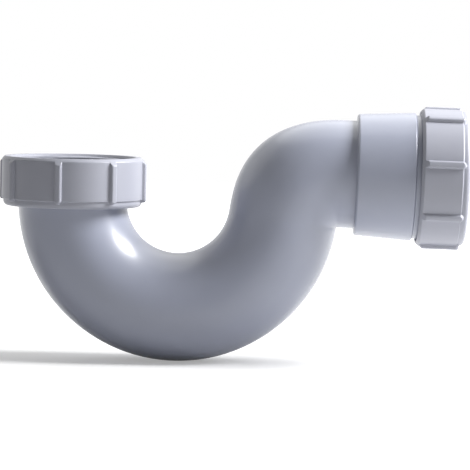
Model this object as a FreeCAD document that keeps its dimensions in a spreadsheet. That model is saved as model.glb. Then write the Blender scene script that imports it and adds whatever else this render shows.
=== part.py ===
import FreeCAD, Part
import math
import os
import re

import Sketcher

# U trap for a waste pipe: a bent tube moulded in one piece, a coupling nut at its
# inlet and a compression nut at its outlet. Millimetres, +Z up, outlet towards +X.
# The origin is the centre of the inlet nut's thread, at the thread's upper end.

# The tube and its bend. The waste pipe at the outlet has the tube's own diameter.
TUBE_SIZES = [
    ("pipe_od", 43.0),
    ("pipe_wall", 2.5),
    ("bend_radius", 42.0),
    ("bend_end_angle", 8.4),
]

# The inlet neck, its flange and the washer that lies on the flange.
INLET_SIZES = [
    ("inlet_neck_length", 0.4),
    ("flange_thickness", 2.6),
    ("flange_overlap", 1.0),
    ("flange_round", 0.4),
    ("inlet_washer_thickness", 3.0),
    ("inlet_washer_bore_step", 0.2),
    ("inlet_washer_overlap", 0.3),
]

# The elbow turns about its inner corner. Its section swells on the way, most just before
# halfway, because the bias is under 1.
ELBOW_SIZES = [
    ("corner_radius", 0.4),
    ("elbow_swell", 1.85),
    ("elbow_swell_bias", 0.87),
    ("outlet_fall", 1.2),
    ("outlet_pipe_step", 0.2),
    ("outlet_pipe_length", 6.3),
]

# The outlet socket, which widens towards its end, and the threaded spigot beyond it.
SOCKET_SIZES = [
    ("waste_pipe_clearance", 0.3),
    ("socket_length", 23.0),
    ("socket_root_wall", 2.2),
    ("socket_root_round", 1.0),
    ("socket_stop_wall", 2.6),
    ("socket_end_step", 1.0),
    ("socket_end_round", 0.8),
    ("spigot_wall", 2.6),
    ("spigot_length", 11.6),
    ("spigot_mouth_chamfer", 0.4),
    ("seat_land", 0.9),
    ("seat_depth", 3.4),
]

# The inlet nut, from its thread's mouth down to the lip under the flange.
INLET_NUT_SIZES = [
    ("inlet_thread_clearance", 0.95),
    ("inlet_thread_length", 9.2),
    ("inlet_mouth_chamfer", 0.9),
    ("inlet_relief_depth", 0.45),
    ("inlet_washer_gap", 0.9),
    ("inlet_nut_wall", 4.2),
    ("inlet_rib_turn", -7.3),
]

# The outlet nut, its seal and the slip ring between them.
OUTLET_NUT_SIZES = [
    ("outlet_thread_clearance", 0.95),
    ("outlet_thread_length", 10.4),
    ("outlet_thread_pitch", 3.0),
    ("outlet_tighten_turns", 0.5),
    ("outlet_mouth_gap", 0.3),
    ("outlet_mouth_chamfer", 0.25),
    ("outlet_relief_depth", 0.2),
    ("outlet_nut_wall", 1.85),
    ("outlet_rib_turn", 13.6),
    ("seal_gap", 0.1),
    ("seal_head_thickness", 2.7),
    ("seal_nose_depth", 2.4),
    ("squeeze_gap", 0.3),
    ("slip_ring_thickness", 1.6),
    ("slip_ring_edge_gap", 0.4),
    ("ring_bore_step", 0.1),
]

# What both nuts share: the lip, the ribs and the shaped outside.
NUT_SIZES = [
    ("nut_lip_thickness", 2.8),
    ("nut_lip_clearance", 0.5),
    ("nut_seat_gap", 0.1),
    ("nut_step_depth", 0.7),
    ("nut_step_height", 2.9),
    ("nut_back_round", 1.8),
    ("nut_lead", 1.1),
    ("rib_count", 8),
    ("rib_height", 1.35),
    ("rib_width", 2.7),
    ("rib_root", 0.6),
    ("rib_round", 0.9),
    ("rib_back_gap", 2.0),
]

SIZE_GROUPS = [
    TUBE_SIZES,
    INLET_SIZES,
    ELBOW_SIZES,
    SOCKET_SIZES,
    INLET_NUT_SIZES,
    OUTLET_NUT_SIZES,
    NUT_SIZES,
]
SIZE_NAMES = {name for group in SIZE_GROUPS for name, _ in group}

# Sections of the elbow's loft, both ends counted.
ELBOW_SECTIONS = 9

# Radii about the tube's axis, each a step outwards from the one before.
PIPE_RADIUS = "(pipe_od / 2)"
PIPE_BORE = f"({PIPE_RADIUS} - pipe_wall)"
INLET_LIP_BORE = f"({PIPE_RADIUS} + nut_lip_clearance)"
FLANGE_RADIUS = f"({INLET_LIP_BORE} + flange_overlap)"
INLET_THREAD_RADIUS = f"({FLANGE_RADIUS} + inlet_thread_clearance)"

# Heights of the inlet, from the top of the nut's thread down to the start of the bend.
WASHER_TOP = "(0 - inlet_thread_length - inlet_washer_gap)"
FLANGE_TOP = f"({WASHER_TOP} - inlet_washer_thickness)"
FLANGE_UNDERSIDE = f"({FLANGE_TOP} - flange_thickness)"
INLET_NUT_BACK = f"({FLANGE_UNDERSIDE} - nut_seat_gap - nut_lip_thickness)"
INLET_NUT_HEIGHT = f"(inlet_mouth_chamfer - {INLET_NUT_BACK})"
BEND_HEIGHT = f"({FLANGE_UNDERSIDE} - inlet_neck_length)"

# The elbow's hinge line is just outside the bend, under the start of the outlet pipe.
HINGE_REACH = f"(bend_radius + {PIPE_RADIUS} + corner_radius)"
HINGE_X = f"(bend_radius + {HINGE_REACH} * cos(bend_end_angle))"
HINGE_Z = f"({BEND_HEIGHT} - {HINGE_REACH} * sin(bend_end_angle))"
ELBOW_SWEEP = "(90 + outlet_fall - bend_end_angle)"

# The outlet's axis starts above the hinge line and falls towards +X.
OUTLET_RADIUS = f"({PIPE_RADIUS} - outlet_pipe_step)"
OUTLET_BORE = f"({OUTLET_RADIUS} - pipe_wall)"
OUTLET_X = f"({HINGE_X} + (corner_radius + {OUTLET_RADIUS}) * sin(outlet_fall))"
OUTLET_Z = f"({HINGE_Z} + (corner_radius + {OUTLET_RADIUS}) * cos(outlet_fall))"

# Radii about the outlet's axis.
SOCKET_BORE = f"({PIPE_RADIUS} + waste_pipe_clearance)"
SOCKET_ROOT_RADIUS = f"({SOCKET_BORE} + socket_root_wall)"
SPIGOT_RADIUS = f"({SOCKET_BORE} + spigot_wall)"
SOCKET_END_RADIUS = f"({SPIGOT_RADIUS} + socket_end_step)"
SEAT_MOUTH_RADIUS = f"({SPIGOT_RADIUS} - seat_land)"
OUTLET_THREAD_RADIUS = f"({SPIGOT_RADIUS} + outlet_thread_clearance)"
SEAL_BORE = f"({SOCKET_BORE} + ring_bore_step)"
SLIP_RING_BORE = f"({SOCKET_BORE} + 2 * ring_bore_step)"
OUTLET_LIP_BORE = f"({SOCKET_BORE} + 3 * ring_bore_step)"

# Distances along the outlet's axis.
SOCKET_STOP = "(outlet_pipe_length + socket_stop_wall)"
SOCKET_END = "(outlet_pipe_length + socket_length)"
SPIGOT_END = f"({SOCKET_END} + spigot_length)"
TIGHTEN_TRAVEL = "(outlet_thread_pitch * outlet_tighten_turns)"
SEAL_HEAD_BACK = f"({SPIGOT_END} + seal_gap)"
SEAL_HEAD_FRONT = f"({SEAL_HEAD_BACK} + seal_head_thickness)"
SLIP_RING_BACK = f"({SEAL_HEAD_FRONT} + squeeze_gap + {TIGHTEN_TRAVEL})"
SLIP_RING_FRONT = f"({SLIP_RING_BACK} + slip_ring_thickness)"
OUTLET_NUT_BACK = f"({SLIP_RING_FRONT} + nut_seat_gap + nut_lip_thickness)"
OUTLET_NUT_OPEN = f"({SOCKET_END} + {TIGHTEN_TRAVEL} + outlet_mouth_gap)"
OUTLET_NUT_HEIGHT = f"({OUTLET_NUT_BACK} - {OUTLET_NUT_OPEN})"

doc = FreeCAD.newDocument("u_trap")


def make_sheet():
    """The sheet of driving sizes, one row for each, in groups."""
    sheet = doc.addObject("Spreadsheet::Sheet", "sizes")
    row = 0
    for group in SIZE_GROUPS:
        for alias, value in group:
            row += 1
            sheet.set(f"A{row}", alias)
            sheet.set(f"B{row}", str(value))
            sheet.setAlias(f"B{row}", alias)
    doc.recompute()
    return sheet


def of_sheet(text):
    """Expression text with each size's name turned into its cell of the sheet."""
    return re.sub(r"[a-z_]+", lambda word: f"sizes.{word[0]}" if word[0] in SIZE_NAMES else word[0], text)


def value_of(text):
    """The number that an expression on the sheet's sizes gives now."""
    result = sizes.evalExpression(of_sheet(text))
    return float(getattr(result, "Value", result))


def origin_feature(body, role):
    """The body's own plane or axis of that role."""
    return [feature for feature in body.Origin.OriginFeatures if feature.Role == role][0]


def new_body(label):
    """A body that stands for one piece of the trap."""
    body = doc.addObject("PartDesign::Body", label)
    body.Label = label
    return body


def new_sketch(body, name, role="XZ_Plane"):
    """A sketch on one of the body's own planes."""
    sketch = body.newObject("Sketcher::SketchObject", name)
    sketch.AttachmentSupport = (origin_feature(body, role), [""])
    sketch.MapMode = "FlatFace"
    sketch.Visibility = False
    return sketch


def turn_sketch(sketch, axis, angle):
    """Turns the sketch about an axis of its plane's own frame."""
    sketch.AttachmentOffset = FreeCAD.Placement(FreeCAD.Vector(), FreeCAD.Rotation(FreeCAD.Vector(*axis), 1))
    sketch.setExpression("AttachmentOffset.Rotation.Angle", of_sheet(angle))


def shift_sketch(sketch, **shifts):
    """Shifts the sketch along the axes x, y and z of its plane's own frame."""
    for axis, text in shifts.items():
        sketch.setExpression(f"AttachmentOffset.Base.{axis}", of_sheet(text))


def bind_value(sketch, constraint, name, text):
    """Adds a constraint to the sketch and ties its value to an expression."""
    index = sketch.addConstraint(constraint)
    sketch.renameConstraint(index, name)
    sketch.setExpression(f"Constraints.{name}", of_sheet(text))


def bind_point(sketch, geometry, position, x, y, name):
    """Holds a point of the sketch at expressions x and y, measured from its origin."""
    for kind, line, text in (("DistanceX", -2, x), ("DistanceY", -1, y)):
        if text == "0":
            sketch.addConstraint(Sketcher.Constraint("PointOnObject", geometry, position, line))
        else:
            constraint = Sketcher.Constraint(kind, -1, 1, geometry, position, value_of(text))
            bind_value(sketch, constraint, f"{name}_{kind[-1].lower()}", text)


def draw_outline(sketch, points):
    """A closed outline of straight lines through points given as pairs of expressions."""
    places = [FreeCAD.Vector(value_of(x), value_of(y), 0) for x, y in points]
    for index, place in enumerate(places):
        following = places[(index + 1) % len(places)]
        sketch.addGeometry(Part.LineSegment(place, following), False)
    for index, (x, y) in enumerate(points):
        before = (index - 1) % len(points)
        sketch.addConstraint(Sketcher.Constraint("Coincident", before, 2, index, 1))
        bind_point(sketch, index, 1, x, y, f"point{index}")


def draw_circle(sketch, radius, x="0", y="0", name="circle"):
    """A circle whose radius and centre are expressions."""
    centre = FreeCAD.Vector(value_of(x), value_of(y), 0)
    circle = Part.Circle(centre, FreeCAD.Vector(0, 0, 1), value_of(radius))
    index = sketch.addGeometry(circle, False)
    bind_point(sketch, index, 3, x, y, f"{name}_centre")
    bind_value(sketch, Sketcher.Constraint("Radius", index, value_of(radius)), f"{name}_radius", radius)


def draw_rib(sketch, half_width, round_height, top):
    """A rib's face: straight sides up to the top, and a half-round end below."""
    half = value_of(half_width)
    low = value_of(round_height)
    high = value_of(top)
    corners = [(-half, low), (-half, high), (half, high), (half, low)]
    places = [FreeCAD.Vector(x, y, 0) for x, y in corners]
    for start, end in zip(places, places[1:]):
        sketch.addGeometry(Part.LineSegment(start, end), False)
    circle = Part.Circle(FreeCAD.Vector(0, low, 0), FreeCAD.Vector(0, 0, 1), half)
    arc = sketch.addGeometry(Part.ArcOfCircle(circle, math.pi, 2 * math.pi), False)
    sketch.addConstraint(Sketcher.Constraint("Coincident", 0, 2, 1, 1))
    sketch.addConstraint(Sketcher.Constraint("Coincident", 1, 2, 2, 1))
    sketch.addConstraint(Sketcher.Constraint("Tangent", 0, 1, arc, 1))
    sketch.addConstraint(Sketcher.Constraint("Tangent", 2, 2, arc, 2))
    sketch.addConstraint(Sketcher.Constraint("Vertical", 0))
    sketch.addConstraint(Sketcher.Constraint("Horizontal", 1))
    bind_point(sketch, arc, 3, "0", round_height, "round_centre")
    bind_value(sketch, Sketcher.Constraint("Radius", arc, half), "half_width", half_width)
    bind_value(sketch, Sketcher.Constraint("DistanceY", -1, 1, 1, 1, high), "top", top)


def revolve(body, kind, sketch, axis="V_Axis", angle="360", reverse=False):
    """Turns the sketch about one of its own axes, to add to the body or to cut it."""
    feature = body.newObject(f"PartDesign::{kind}", f"{sketch.Name}_{kind.lower()}")
    feature.Profile = sketch
    feature.ReferenceAxis = (sketch, [axis])
    feature.Reversed = reverse
    feature.setExpression("Angle", of_sheet(angle))
    doc.recompute()
    return feature


def extrude(body, kind, sketch, length, reverse=False):
    """A pad or pocket of the sketch over a length given as an expression."""
    feature = body.newObject(f"PartDesign::{kind}", f"{sketch.Name}_{kind.lower()}")
    feature.Profile = sketch
    feature.Reversed = reverse
    feature.setExpression("Length", of_sheet(length))
    doc.recompute()
    return feature


def ring_edges(shape, radius, centre):
    """Names of the shape's circular edges of one radius round one centre."""
    names = []
    for index, edge in enumerate(shape.Edges, start=1):
        if not isinstance(edge.Curve, Part.Circle):
            continue
        same_radius = abs(edge.Curve.Radius - value_of(radius)) < 1e-4
        if same_radius and edge.Curve.Center.distanceToPoint(centre) < 1e-4:
            names.append(f"Edge{index}")
    return names


def crest_edges(shape, radius, rim):
    """Names of the edges of the ribs' crests, apart from those in the open rim's plane."""
    names = []
    for index, edge in enumerate(shape.Edges, start=1):
        ends = [vertex.Point for vertex in edge.Vertexes]
        on_crest = all(math.hypot(point.x, point.y) > radius for point in ends)
        in_rim = all(abs(point.z - rim) < 1e-4 for point in ends)
        if on_crest and not in_rim:
            names.append(f"Edge{index}")
    return names


def round_edges(body, feature, edges, radius, name):
    """Rounds the named edges of a feature of the body."""
    fillet = body.newObject("PartDesign::Fillet", name)
    fillet.Base = (feature, edges)
    fillet.setExpression("Radius", of_sheet(radius))
    doc.recompute()
    return fillet


def outlet_point(distance):
    """The point of the outlet's axis at a distance given as an expression."""
    start = FreeCAD.Vector(value_of(OUTLET_X), 0, value_of(OUTLET_Z))
    turn = FreeCAD.Rotation(FreeCAD.Vector(0, 1, 0), value_of("outlet_fall"))
    return start + turn.multVec(FreeCAD.Vector(value_of(distance), 0, 0))


def outlet_sketch(body, name):
    """A sketch whose X axis is the outlet's axis, in the trap's middle plane."""
    sketch = new_sketch(body, name)
    turn_sketch(sketch, (0, 0, 1), "0 - outlet_fall")
    shift_sketch(sketch, x=OUTLET_X, y=OUTLET_Z)
    return sketch


def stand_on_outlet(body, distance, facing, turn="0"):
    """Places a piece on the outlet's axis; facing 90 points its +Z outwards, -90 inwards."""
    x = of_sheet(f"{OUTLET_X} + {distance} * cos(outlet_fall)")
    z = of_sheet(f"{OUTLET_Z} - {distance} * sin(outlet_fall)")
    tilt = f"create(<<rotation>>; create(<<vector>>; 0; 1; 0); {of_sheet(f'outlet_fall + {facing}')})"
    spin = f"create(<<rotation>>; create(<<vector>>; 0; 0; 1); {of_sheet(turn)})"
    body.setExpression("Placement", f"create(<<placement>>; create(<<vector>>; {x}; 0; {z}); {tilt} * {spin})")


def add_bend(body, kind, radius, name):
    """The half turn of the tube: a round section swept below the inlet, about +Y."""
    sketch = new_sketch(body, name, "XY_Plane")
    shift_sketch(sketch, x="bend_radius", z=BEND_HEIGHT)
    draw_circle(sketch, radius, x="0 - bend_radius")
    return revolve(body, kind, sketch, angle="180 - bend_end_angle", reverse=True)


def add_elbow(body, kind, wall, name):
    """The elbow: round sections fanned about its hinge line, drawn in by a wall."""
    sketches = []
    for index in range(ELBOW_SECTIONS):
        share = index / (ELBOW_SECTIONS - 1)
        swell = f"elbow_swell * sin(180 * {share} ^ elbow_swell_bias) ^ 2"
        width = f"(pipe_od - 2 * outlet_pipe_step * {share} + {swell})"
        sketch = new_sketch(body, f"{name}_section_{index}", "XY_Plane")
        turn_sketch(sketch, (0, 1, 0), f"180 + bend_end_angle + {ELBOW_SWEEP} * {share}")
        shift_sketch(sketch, x=HINGE_X, z=HINGE_Z)
        draw_circle(sketch, f"{width} / 2 - {wall}", x=f"corner_radius + {width} / 2")
        sketches.append(sketch)
    loft = body.newObject(f"PartDesign::{kind}", name)
    loft.Profile = sketches[0]
    loft.Sections = sketches[1:]
    doc.recompute()
    return loft


def build_trap_body():
    """The one-piece moulding: flanged neck, bend, elbow, outlet pipe, socket and spigot."""
    body = new_body("trap_body")
    add_bend(body, "Revolution", PIPE_RADIUS, "bend")

    neck = new_sketch(body, "neck")
    draw_outline(neck, [
        ("0", BEND_HEIGHT),
        (PIPE_RADIUS, BEND_HEIGHT),
        (PIPE_RADIUS, FLANGE_UNDERSIDE),
        (FLANGE_RADIUS, FLANGE_UNDERSIDE),
        (FLANGE_RADIUS, FLANGE_TOP),
        ("0", FLANGE_TOP),
    ])
    revolve(body, "Revolution", neck)

    add_elbow(body, "AdditiveLoft", "0", "elbow")

    outlet = outlet_sketch(body, "outlet")
    draw_outline(outlet, [
        ("0", "0"),
        ("0", OUTLET_RADIUS),
        ("outlet_pipe_length", OUTLET_RADIUS),
        ("outlet_pipe_length", SOCKET_ROOT_RADIUS),
        (SOCKET_END, SOCKET_END_RADIUS),
        (SOCKET_END, SPIGOT_RADIUS),
        (f"{SPIGOT_END} - spigot_mouth_chamfer", SPIGOT_RADIUS),
        (SPIGOT_END, f"{SPIGOT_RADIUS} - spigot_mouth_chamfer"),
        (SPIGOT_END, "0"),
    ])
    solid = revolve(body, "Revolution", outlet, axis="H_Axis")

    root = ring_edges(solid.Shape, SOCKET_ROOT_RADIUS, outlet_point("outlet_pipe_length"))
    solid = round_edges(body, solid, root, "socket_root_round", "socket_root_fillet")
    end = ring_edges(solid.Shape, SOCKET_END_RADIUS, outlet_point(SOCKET_END))
    solid = round_edges(body, solid, end, "socket_end_round", "socket_end_fillet")
    rims = []
    for height in (FLANGE_UNDERSIDE, FLANGE_TOP):
        rims += ring_edges(solid.Shape, FLANGE_RADIUS, FreeCAD.Vector(0, 0, value_of(height)))
    solid = round_edges(body, solid, rims, "flange_round", "flange_fillet")
    volumes = [solid.Shape.Volume]

    neck_bore = new_sketch(body, "neck_bore", "XY_Plane")
    shift_sketch(neck_bore, z=BEND_HEIGHT)
    draw_circle(neck_bore, PIPE_BORE)
    solid = extrude(body, "Pocket", neck_bore, f"{FLANGE_TOP} - {BEND_HEIGHT}", reverse=True)
    volumes.append(solid.Shape.Volume)
    solid = add_bend(body, "Groove", PIPE_BORE, "bend_bore")
    volumes.append(solid.Shape.Volume)
    solid = add_elbow(body, "SubtractiveLoft", "pipe_wall", "elbow_bore")
    volumes.append(solid.Shape.Volume)

    outlet_bore = outlet_sketch(body, "outlet_bore")
    draw_outline(outlet_bore, [
        ("0", "0"),
        ("0", OUTLET_BORE),
        (SOCKET_STOP, OUTLET_BORE),
        (SOCKET_STOP, SOCKET_BORE),
        (f"{SPIGOT_END} - seat_depth", SOCKET_BORE),
        (SPIGOT_END, SEAT_MOUTH_RADIUS),
        (SPIGOT_END, "0"),
    ])
    solid = revolve(body, "Groove", outlet_bore, axis="H_Axis")
    volumes.append(solid.Shape.Volume)
    if sorted(volumes, reverse=True) != volumes:
        raise RuntimeError("a part of the waterway wasn't cut")
    return body


def build_nut(label, outside, thread, mouth, thread_length, relief, lip_bore, height):
    """A ribbed nut about +Z: its closed face at Z 0, its open rim at the top."""
    body = new_body(label)
    step = f"({outside} - nut_step_depth)"
    thread_top = f"({height} - {mouth})"
    thread_foot = f"({thread_top} - {thread_length})"

    profile = new_sketch(body, f"{label}_profile")
    draw_outline(profile, [
        (lip_bore, "0"),
        (step, "0"),
        (step, "nut_step_height"),
        (outside, "nut_step_height"),
        (outside, height),
        (f"{thread} + {mouth}", height),
        (thread, thread_top),
        (thread, thread_foot),
        (f"{thread} + {relief}", thread_foot),
        (f"{thread} + {relief}", "nut_lip_thickness"),
        (lip_bore, "nut_lip_thickness"),
    ])
    shell = revolve(body, "Revolution", profile)
    back = ring_edges(shell.Shape, step, FreeCAD.Vector())
    round_edges(body, shell, back, "nut_back_round", f"{label}_back_fillet")

    rib = new_sketch(body, f"{label}_rib", "YZ_Plane")
    shift_sketch(rib, z=f"{outside} + rib_height")
    draw_rib(rib, "rib_width / 2", "rib_back_gap + rib_width / 2", height)
    first = extrude(body, "Pad", rib, "rib_height + rib_root", reverse=True)

    ribs = body.newObject("PartDesign::PolarPattern", f"{label}_ribs")
    ribs.Originals = [first]
    ribs.Axis = (origin_feature(body, "Z_Axis"), [""])
    ribs.Angle = 360
    ribs.setExpression("Occurrences", of_sheet("rib_count"))
    body.Tip = ribs
    doc.recompute()

    crests = crest_edges(ribs.Shape, value_of(f"{outside} + 0.7 * rib_height"), value_of(height))
    round_edges(body, ribs, crests, "rib_round", f"{label}_rib_fillet")

    # A lead at 45 degrees points the ribs' tips and bevels the open rim.
    lead = new_sketch(body, f"{label}_lead")
    clear = f"({outside} + 2 * rib_height)"
    draw_outline(lead, [
        (f"{outside} - nut_lead", height),
        (clear, height),
        (clear, f"{height} - nut_lead - 2 * rib_height"),
    ])
    revolve(body, "Groove", lead)
    return body


def build_ring(label, bore, outside, thickness):
    """A flat ring about +Z, standing on Z 0."""
    body = new_body(label)
    sketch = new_sketch(body, f"{label}_circles", "XY_Plane")
    draw_circle(sketch, outside, name="outside")
    draw_circle(sketch, bore, name="bore")
    extrude(body, "Pad", sketch, thickness)
    return body


def build_seal():
    """The tapered seal about +Z: its nose lies in the spigot's seat, its head above Z 0."""
    body = new_body("outlet_seal")
    slope = f"(({SEAT_MOUTH_RADIUS} - {SOCKET_BORE}) / seat_depth)"
    mouth = f"({SEAT_MOUTH_RADIUS} - seal_gap)"
    head = f"({SPIGOT_RADIUS} - seal_gap)"
    profile = new_sketch(body, "outlet_seal_profile")
    draw_outline(profile, [
        (SEAL_BORE, "0 - seal_nose_depth"),
        (f"{mouth} - {slope} * seal_nose_depth", "0 - seal_nose_depth"),
        (mouth, "0"),
        (head, "0"),
        (head, "seal_head_thickness"),
        (SEAL_BORE, "seal_head_thickness"),
    ])
    revolve(body, "Revolution", profile)
    return body


sizes = make_sheet()

trap_body = build_trap_body()

inlet_nut = build_nut(
    "inlet_nut",
    outside=f"({INLET_THREAD_RADIUS} + inlet_nut_wall)",
    thread=INLET_THREAD_RADIUS,
    mouth="inlet_mouth_chamfer",
    thread_length="inlet_thread_length",
    relief="inlet_relief_depth",
    lip_bore=INLET_LIP_BORE,
    height=INLET_NUT_HEIGHT,
)
inlet_nut.Placement.Rotation = FreeCAD.Rotation(FreeCAD.Vector(0, 0, 1), value_of("inlet_rib_turn"))
inlet_nut.setExpression("Placement.Rotation.Angle", of_sheet("inlet_rib_turn"))
inlet_nut.setExpression("Placement.Base.z", of_sheet(INLET_NUT_BACK))

inlet_washer = build_ring(
    "inlet_washer",
    bore=f"{PIPE_BORE} + inlet_washer_bore_step",
    outside=f"{FLANGE_RADIUS} + inlet_washer_overlap",
    thickness="inlet_washer_thickness",
)
inlet_washer.setExpression("Placement.Base.z", of_sheet(FLANGE_TOP))

outlet_seal = build_seal()
stand_on_outlet(outlet_seal, SEAL_HEAD_BACK, facing=90)

outlet_slip_ring = build_ring(
    "outlet_slip_ring",
    bore=SLIP_RING_BORE,
    outside=f"{OUTLET_THREAD_RADIUS} - slip_ring_edge_gap",
    thickness="slip_ring_thickness",
)
stand_on_outlet(outlet_slip_ring, SLIP_RING_BACK, facing=90)

outlet_nut = build_nut(
    "outlet_nut",
    outside=f"({OUTLET_THREAD_RADIUS} + outlet_nut_wall)",
    thread=OUTLET_THREAD_RADIUS,
    mouth="outlet_mouth_chamfer",
    thread_length="outlet_thread_length",
    relief="outlet_relief_depth",
    lip_bore=OUTLET_LIP_BORE,
    height=OUTLET_NUT_HEIGHT,
)
stand_on_outlet(outlet_nut, OUTLET_NUT_BACK, facing=-90, turn="outlet_rib_turn")

doc.recompute()

for item in doc.Objects:
    if "Invalid" in item.State or "Error" in item.State:
        raise RuntimeError(f"{item.Label} failed: {item.State}")

pieces = [trap_body, inlet_nut, inlet_washer, outlet_seal, outlet_slip_ring, outlet_nut]
os.makedirs("parts", exist_ok=True)
for piece in pieces:
    shape = piece.Shape
    if shape.isNull() or not shape.isValid() or len(shape.Solids) != 1:
        raise RuntimeError(f"{piece.Label} has no valid solid")
    shape.exportStep(f"parts/{piece.Label}.step")
    print(piece.Label, f"{shape.Volume:.1f} mm3")
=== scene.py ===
import sys
import logging
import math
from dataclasses import dataclass
from enum import Enum
from typing import Any, Iterable, Sequence

import bmesh
import bpy
import numpy as np
from mathutils import Matrix, Vector


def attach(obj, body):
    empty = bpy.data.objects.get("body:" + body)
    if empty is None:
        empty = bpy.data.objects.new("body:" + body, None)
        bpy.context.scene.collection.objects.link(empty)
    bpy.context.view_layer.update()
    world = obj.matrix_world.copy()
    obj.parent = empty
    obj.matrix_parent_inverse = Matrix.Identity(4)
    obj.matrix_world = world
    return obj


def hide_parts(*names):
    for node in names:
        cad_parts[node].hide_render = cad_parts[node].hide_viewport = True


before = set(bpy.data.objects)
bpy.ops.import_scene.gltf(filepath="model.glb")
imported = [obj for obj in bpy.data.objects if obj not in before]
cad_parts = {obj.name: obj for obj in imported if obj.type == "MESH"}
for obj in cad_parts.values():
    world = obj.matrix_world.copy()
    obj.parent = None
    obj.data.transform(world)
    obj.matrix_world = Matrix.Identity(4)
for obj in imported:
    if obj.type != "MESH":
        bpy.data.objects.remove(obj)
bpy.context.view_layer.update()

# The u trap's looks: one moulded tube, two ribbed nuts, a washer, a seal and a slip ring.
# Sizes are written in millimetres, as in the construction, and become metres in the meshes.

Colour = tuple[float, float, float]
Corner = tuple[float, float, float]
Ring = tuple[float, float, float, float]
Point = tuple[float, float]
Vector3 = tuple[float, float, float]

MM = 0.001
LOG = logging.getLogger("u_trap")

PICTURE_WIDTH = 470.0
SENSOR_WIDTH = 36.0
CAMERA_REACH = (0.05, 20.0)

HOLD = 0.12  # How far beside a rounding its holding point stands, in millimetres.
HOLD_ROOM = 3 * HOLD
ARC_STEP = math.radians(15)
FEWEST_ARC_STEPS = 3

TUBE_COLUMNS = 192
RING_COLUMNS = 144
SKIN_SEAM = 2e-6  # Points of a skin that are closer than this, in metres, become one.
THREAD_SEAM = 1e-6
INDEX_GUARD = 1e-4  # Keeps a whole number from falling below itself in a division.
RIB_BLEND = 0.15 * MM
FLANK_SLOPE = 7.0
CROWN_POWER = 3.0
RIDGE_SINK = 0.12  # The share of a thread ridge's height that lies in its wall.
FADE_TURNS = 0.12  # Over how many turns a thread's ridge rises and ends.
RIDGE_POINTS = 9

PLASTIC_IOR = 1.49
RUBBER_IOR = 1.52

OUTWARDS, INWARDS = 90, -90
INLET_NUT_FACE, INLET_NUT_TURN = -18.6, -7.3  # A height, and degrees about the inlet's axis.
SEAL_AT, SLIP_RING_AT, OUTLET_NUT_AT = 41.0, 45.5, 50.0  # Distances along the outlet's axis.
OUTLET_NUT_TURN = 13.6


class Body(Enum):
    """The rigid bodies that the pieces ride on."""

    TRAP = "trap"
    INLET_COUPLING = "inlet_coupling"
    SLIP_RING = "slip_ring"
    OUTLET_COUPLING = "outlet_coupling"


class Slot(Enum):
    """The record's material slots."""

    BODY = "body_plastic"
    NUT = "nut_plastic"
    WASHER = "washer_rubber"
    SEAL = "seal_rubber"
    RING = "ring_plastic"


class Side(Enum):
    """Which way a thread's ridge stands from its wall."""

    OUTWARD = 1.0
    INWARD = -1.0


class Flow:
    """A node tree that is written as Python expressions."""

    def __init__(self, tree: bpy.types.NodeTree) -> None:
        """Starts writing into a shader or geometry tree, which is emptied here."""
        self.tree = tree
        tree.nodes.clear()

    def node(self, kind: str, settings: dict[str, Any] | None = None, **sockets: Any) -> bpy.types.Node:
        """Adds one node.

        Args:
            kind: The node's type, such as "ShaderNodeMath".
            settings: Properties set before any socket.
            sockets: Values or links by socket name, with _ for a space, or in_0, in_1 by place.

        Returns:
            The new node.
        """
        node = self.tree.nodes.new(kind)
        for key, value in (settings or {}).items():
            setattr(node, key, value)
        for key, value in sockets.items():
            name = int(key[3:]) if key.startswith("in_") else key.replace("_", " ")
            self.feed(node.inputs[name], value)
        return node

    def feed(self, socket: bpy.types.NodeSocket, value: Any) -> None:
        """Links or sets one input.

        Args:
            socket: The input to feed.
            value: A Value, a socket, a number, a colour, a vector or a material.
        """
        if isinstance(value, Value):
            value = value.socket
        if isinstance(value, bpy.types.NodeSocket):
            self.tree.links.new(value, socket)
        elif socket.type == "RGBA" and len(value) == 3:
            socket.default_value = (*value, 1.0)
        else:
            socket.default_value = value

    def value(self, kind: str, settings: dict[str, Any] | None = None, out: int | str = 0,
              **sockets: Any) -> "Value":
        """Adds one node, as node does, and takes the output of this place or name."""
        return Value(self, self.node(kind, settings, **sockets).outputs[out])

    def noise(self, place: "Value", scale: float, **sockets: float) -> "Value":
        """Adds a noise texture at these coordinates; the scale says how fine it is."""
        return self.value("ShaderNodeTexNoise", out="Fac", Vector=place, Scale=scale, **sockets)

    def blend(self, share: "Value", first: Colour, second: Colour) -> "Value":
        """Blends from the first colour, at a share of 0, to the second, at 1."""
        settings = {"data_type": "RGBA"}
        return self.value("ShaderNodeMix", settings, out=2, in_0=share, in_6=first, in_7=second)


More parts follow.
